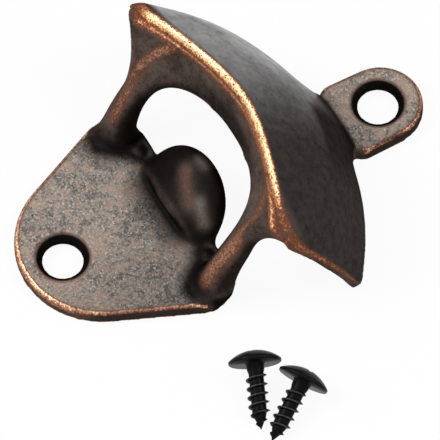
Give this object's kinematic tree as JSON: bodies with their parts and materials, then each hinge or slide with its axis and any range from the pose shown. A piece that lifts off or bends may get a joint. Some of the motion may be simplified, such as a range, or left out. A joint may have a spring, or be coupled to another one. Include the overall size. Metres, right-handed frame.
{
  "type": "wall-mounted bottle opener",
  "caption": "Cast wall bottle opener with a bowed hood, an arched mouth on legs, a cap-lifting tongue, a rounded plate and a tab with screw holes, beside its loose fixing screws.",
  "frame": {"origin": "on the axis of the lower screw hole, on the wall face", "axes": "+Z out of the wall, +Y up the wall from the lower to the upper screw hole, +X to the right as seen from the front"},
  "size_m": [0.0794, 0.0797, 0.0278],
  "materials": {
    "antique_copper": "satin antique copper plating over a zinc alloy casting, dark in the hollows and worn to bright copper on the edges",
    "black_steel": "black oxide, half gloss"
  },
  "bodies": {
    "opener": {"opener_casting": "antique_copper"},
    "left_screw": {"left_screw": "black_steel"},
    "right_screw": {"right_screw": "black_steel"}
  },
  "joints": [
    {"name": "left_screw_turn", "type": "hinge", "parent": "opener", "child": "left_screw", "pos_m": [0.03614, 0.01846, 0.00449], "axis": [0.872, -0.3882, -0.2983], "continuous": true},
    {"name": "right_screw_turn", "type": "hinge", "parent": "opener", "child": "right_screw", "pos_m": [0.04343, 0.02391, 0.00449], "axis": [0.5058, -0.8094, -0.2983], "continuous": true}
  ]
}
